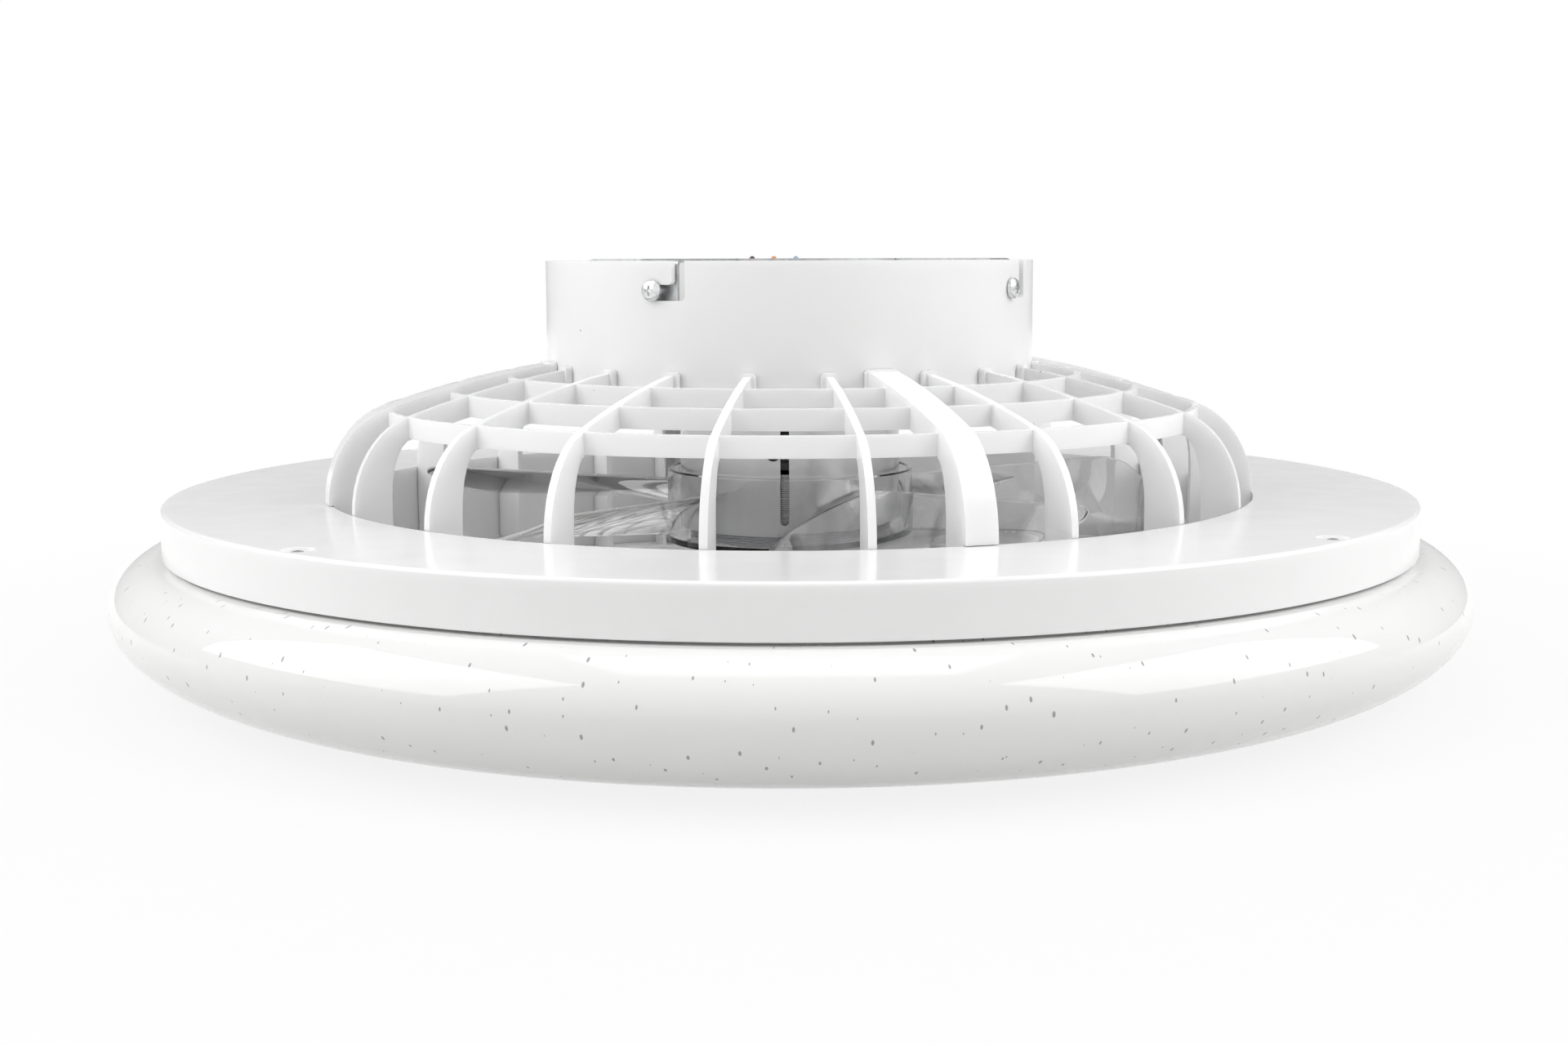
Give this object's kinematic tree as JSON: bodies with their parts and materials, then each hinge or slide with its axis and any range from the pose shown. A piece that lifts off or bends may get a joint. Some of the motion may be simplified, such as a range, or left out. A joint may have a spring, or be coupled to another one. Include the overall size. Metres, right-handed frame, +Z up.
{
  "type": "caged ceiling fan with ring light",
  "caption": "Low ceiling fan: a clear axial impeller on an outer-rotor motor inside a white cage, in an opal ring light, hung from a turn-lock bracket under a round canopy.",
  "frame": {"origin": "on the axis, at the height of the diffuser's lowest line", "axes": "+Z up to the ceiling along the impeller's axis, -Y the pictured front"},
  "size_m": [0.6, 0.6, 0.1802],
  "materials": {
    "abs_white": "moulded gloss",
    "opal_acrylic": "gloss opal with grey flecks",
    "clear_polycarbonate": "moulded clear gloss",
    "zinc_steel": "zinc plated",
    "bright_screw": "white zinc plated",
    "ground_steel": "ground",
    "spring_steel": "blackened",
    "drawn_steel": "drawn, plated",
    "laminated_steel": "stamped laminations",
    "cast_aluminium": "turned and plated",
    "aluminium_sheet": "mill",
    "nylon_white": "moulded matt",
    "board_white": "white solder mask",
    "board_green": "green solder mask",
    "phosphor_yellow": "silicone",
    "rubber_black": "moulded",
    "ferrite": "sintered",
    "enamelled_copper": "enamelled wire",
    "lead_brown": "extruded",
    "lead_blue": "extruded",
    "lead_earth": "extruded"
  },
  "bodies": {
    "housing": {"canopy": "abs_white", "canopy_screws": "zinc_steel", "motor_plate": "zinc_steel", "led_driver": "nylon_white", "fan_controller": "nylon_white", "box_screws": "zinc_steel", "upper_cage": "abs_white", "ring_housing": "abs_white", "led_tray": "aluminium_sheet", "led_board": "board_white", "led_chips": "phosphor_yellow", "tray_screws": "zinc_steel", "diffuser": "opal_acrylic", "diffuser_screws": "zinc_steel", "lower_guard": "abs_white", "guard_screws": "bright_screw", "guard_cap": "abs_white", "isolators": "rubber_black", "motor_screws": "zinc_steel", "motor_housing": "cast_aluminium", "lead_grommet": "rubber_black", "motor_board": "board_green", "shaft": "ground_steel", "shaft_nut": "zinc_steel", "shaft_clip": "spring_steel", "stator_bush": "nylon_white", "stator_core": "laminated_steel", "stator_coils": "enamelled_copper"},
    "rotor": {"rotor_shell": "drawn_steel", "rotor_cover": "drawn_steel", "rotor_magnets": "ferrite", "upper_bearing": "ground_steel", "lower_bearing": "ground_steel", "impeller": "clear_polycarbonate", "impeller_screws": "zinc_steel", "impeller_cap": "clear_polycarbonate"},
    "ceiling_bracket": {"ceiling_bracket": "zinc_steel", "bracket_nuts": "zinc_steel", "locking_screws": "bright_screw", "terminal_block": "nylon_white", "live_lead": "lead_brown", "neutral_lead": "lead_blue", "earth_lead": "lead_earth"}
  },
  "joints": [
    {"name": "impeller_spin", "type": "hinge", "parent": "housing", "child": "rotor", "pos_m": [0, 0, 0.07], "axis": [0, 0, 1], "continuous": true},
    {"name": "bracket_lock", "type": "hinge", "parent": "housing", "child": "ceiling_bracket", "pos_m": [0, 0, 0.1663], "axis": [0, 0, 1], "range_deg": [0, 6.25]}
  ]
}
